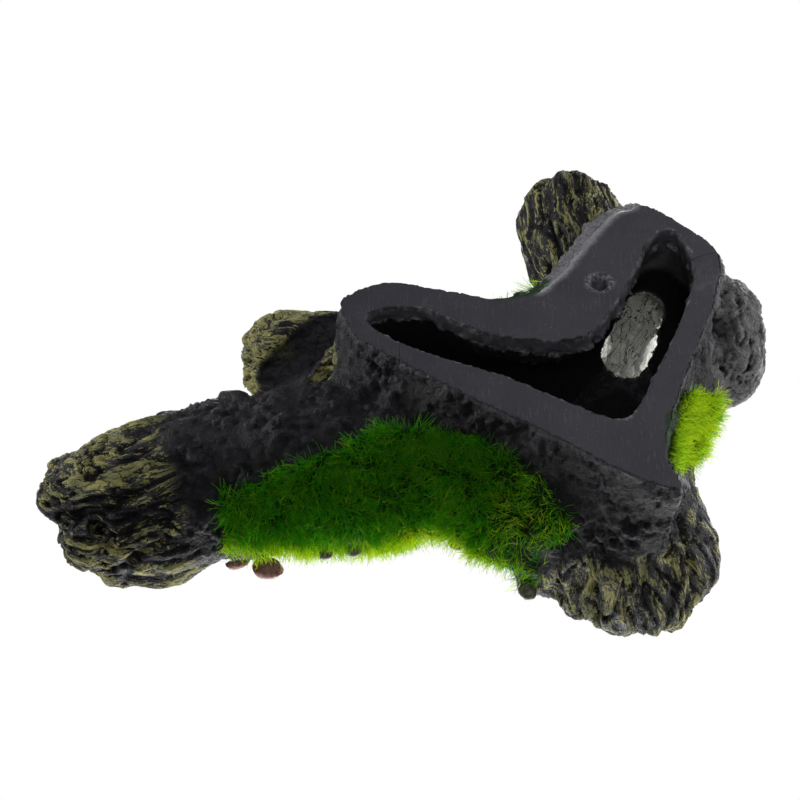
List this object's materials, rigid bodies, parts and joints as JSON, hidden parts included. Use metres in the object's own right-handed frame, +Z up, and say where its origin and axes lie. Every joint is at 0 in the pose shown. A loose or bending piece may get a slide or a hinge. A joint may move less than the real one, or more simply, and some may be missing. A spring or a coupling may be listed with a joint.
{
  "type": "resin cave ornament",
  "caption": "Hollow driftwood-shaped resin cave on a flat open ring, with broken branch ends, moss pads and pebbles, for an aquarium floor.",
  "frame": {"origin": "middle of the ornament's bounding box in plan, on the floor that the ring's flat face stands on", "axes": "+Z up as the ornament stands, +X towards the long branch's end, +Y towards the back, where the rear stub points"},
  "size_m": [0.2248, 0.1548, 0.0666],
  "materials": {
    "cast_resin": "charcoal polyresin, sanded flat underneath and lumpy bark outside",
    "bark_resin": "charcoal polyresin bark, dry-brushed olive on the high grain",
    "moss": "flocked green fibres standing in glue",
    "brown_stone": "tumbled reddish-brown pebble, dull",
    "dark_stone": "dark broken chips, slightly glossy"
  },
  "bodies": {
    "root": {"front_shell": "cast_resin", "rear_shell": "cast_resin", "long_branch": "bark_resin", "right_rear_stub": "bark_resin", "rear_stub": "bark_resin", "left_burl": "bark_resin", "front_stump": "bark_resin", "loop_root": "bark_resin", "front_moss": "moss", "stump_moss": "moss", "left_moss": "moss", "rear_moss": "moss", "crown_moss": "moss", "red_pebble": "brown_stone", "brown_pebble": "brown_stone", "dark_pebble": "dark_stone", "olive_pebble": "dark_stone", "moss_chip": "dark_stone", "rim_chip": "dark_stone", "crown_pebble": "brown_stone", "crown_chip": "dark_stone"}
  },
  "joints": []
}
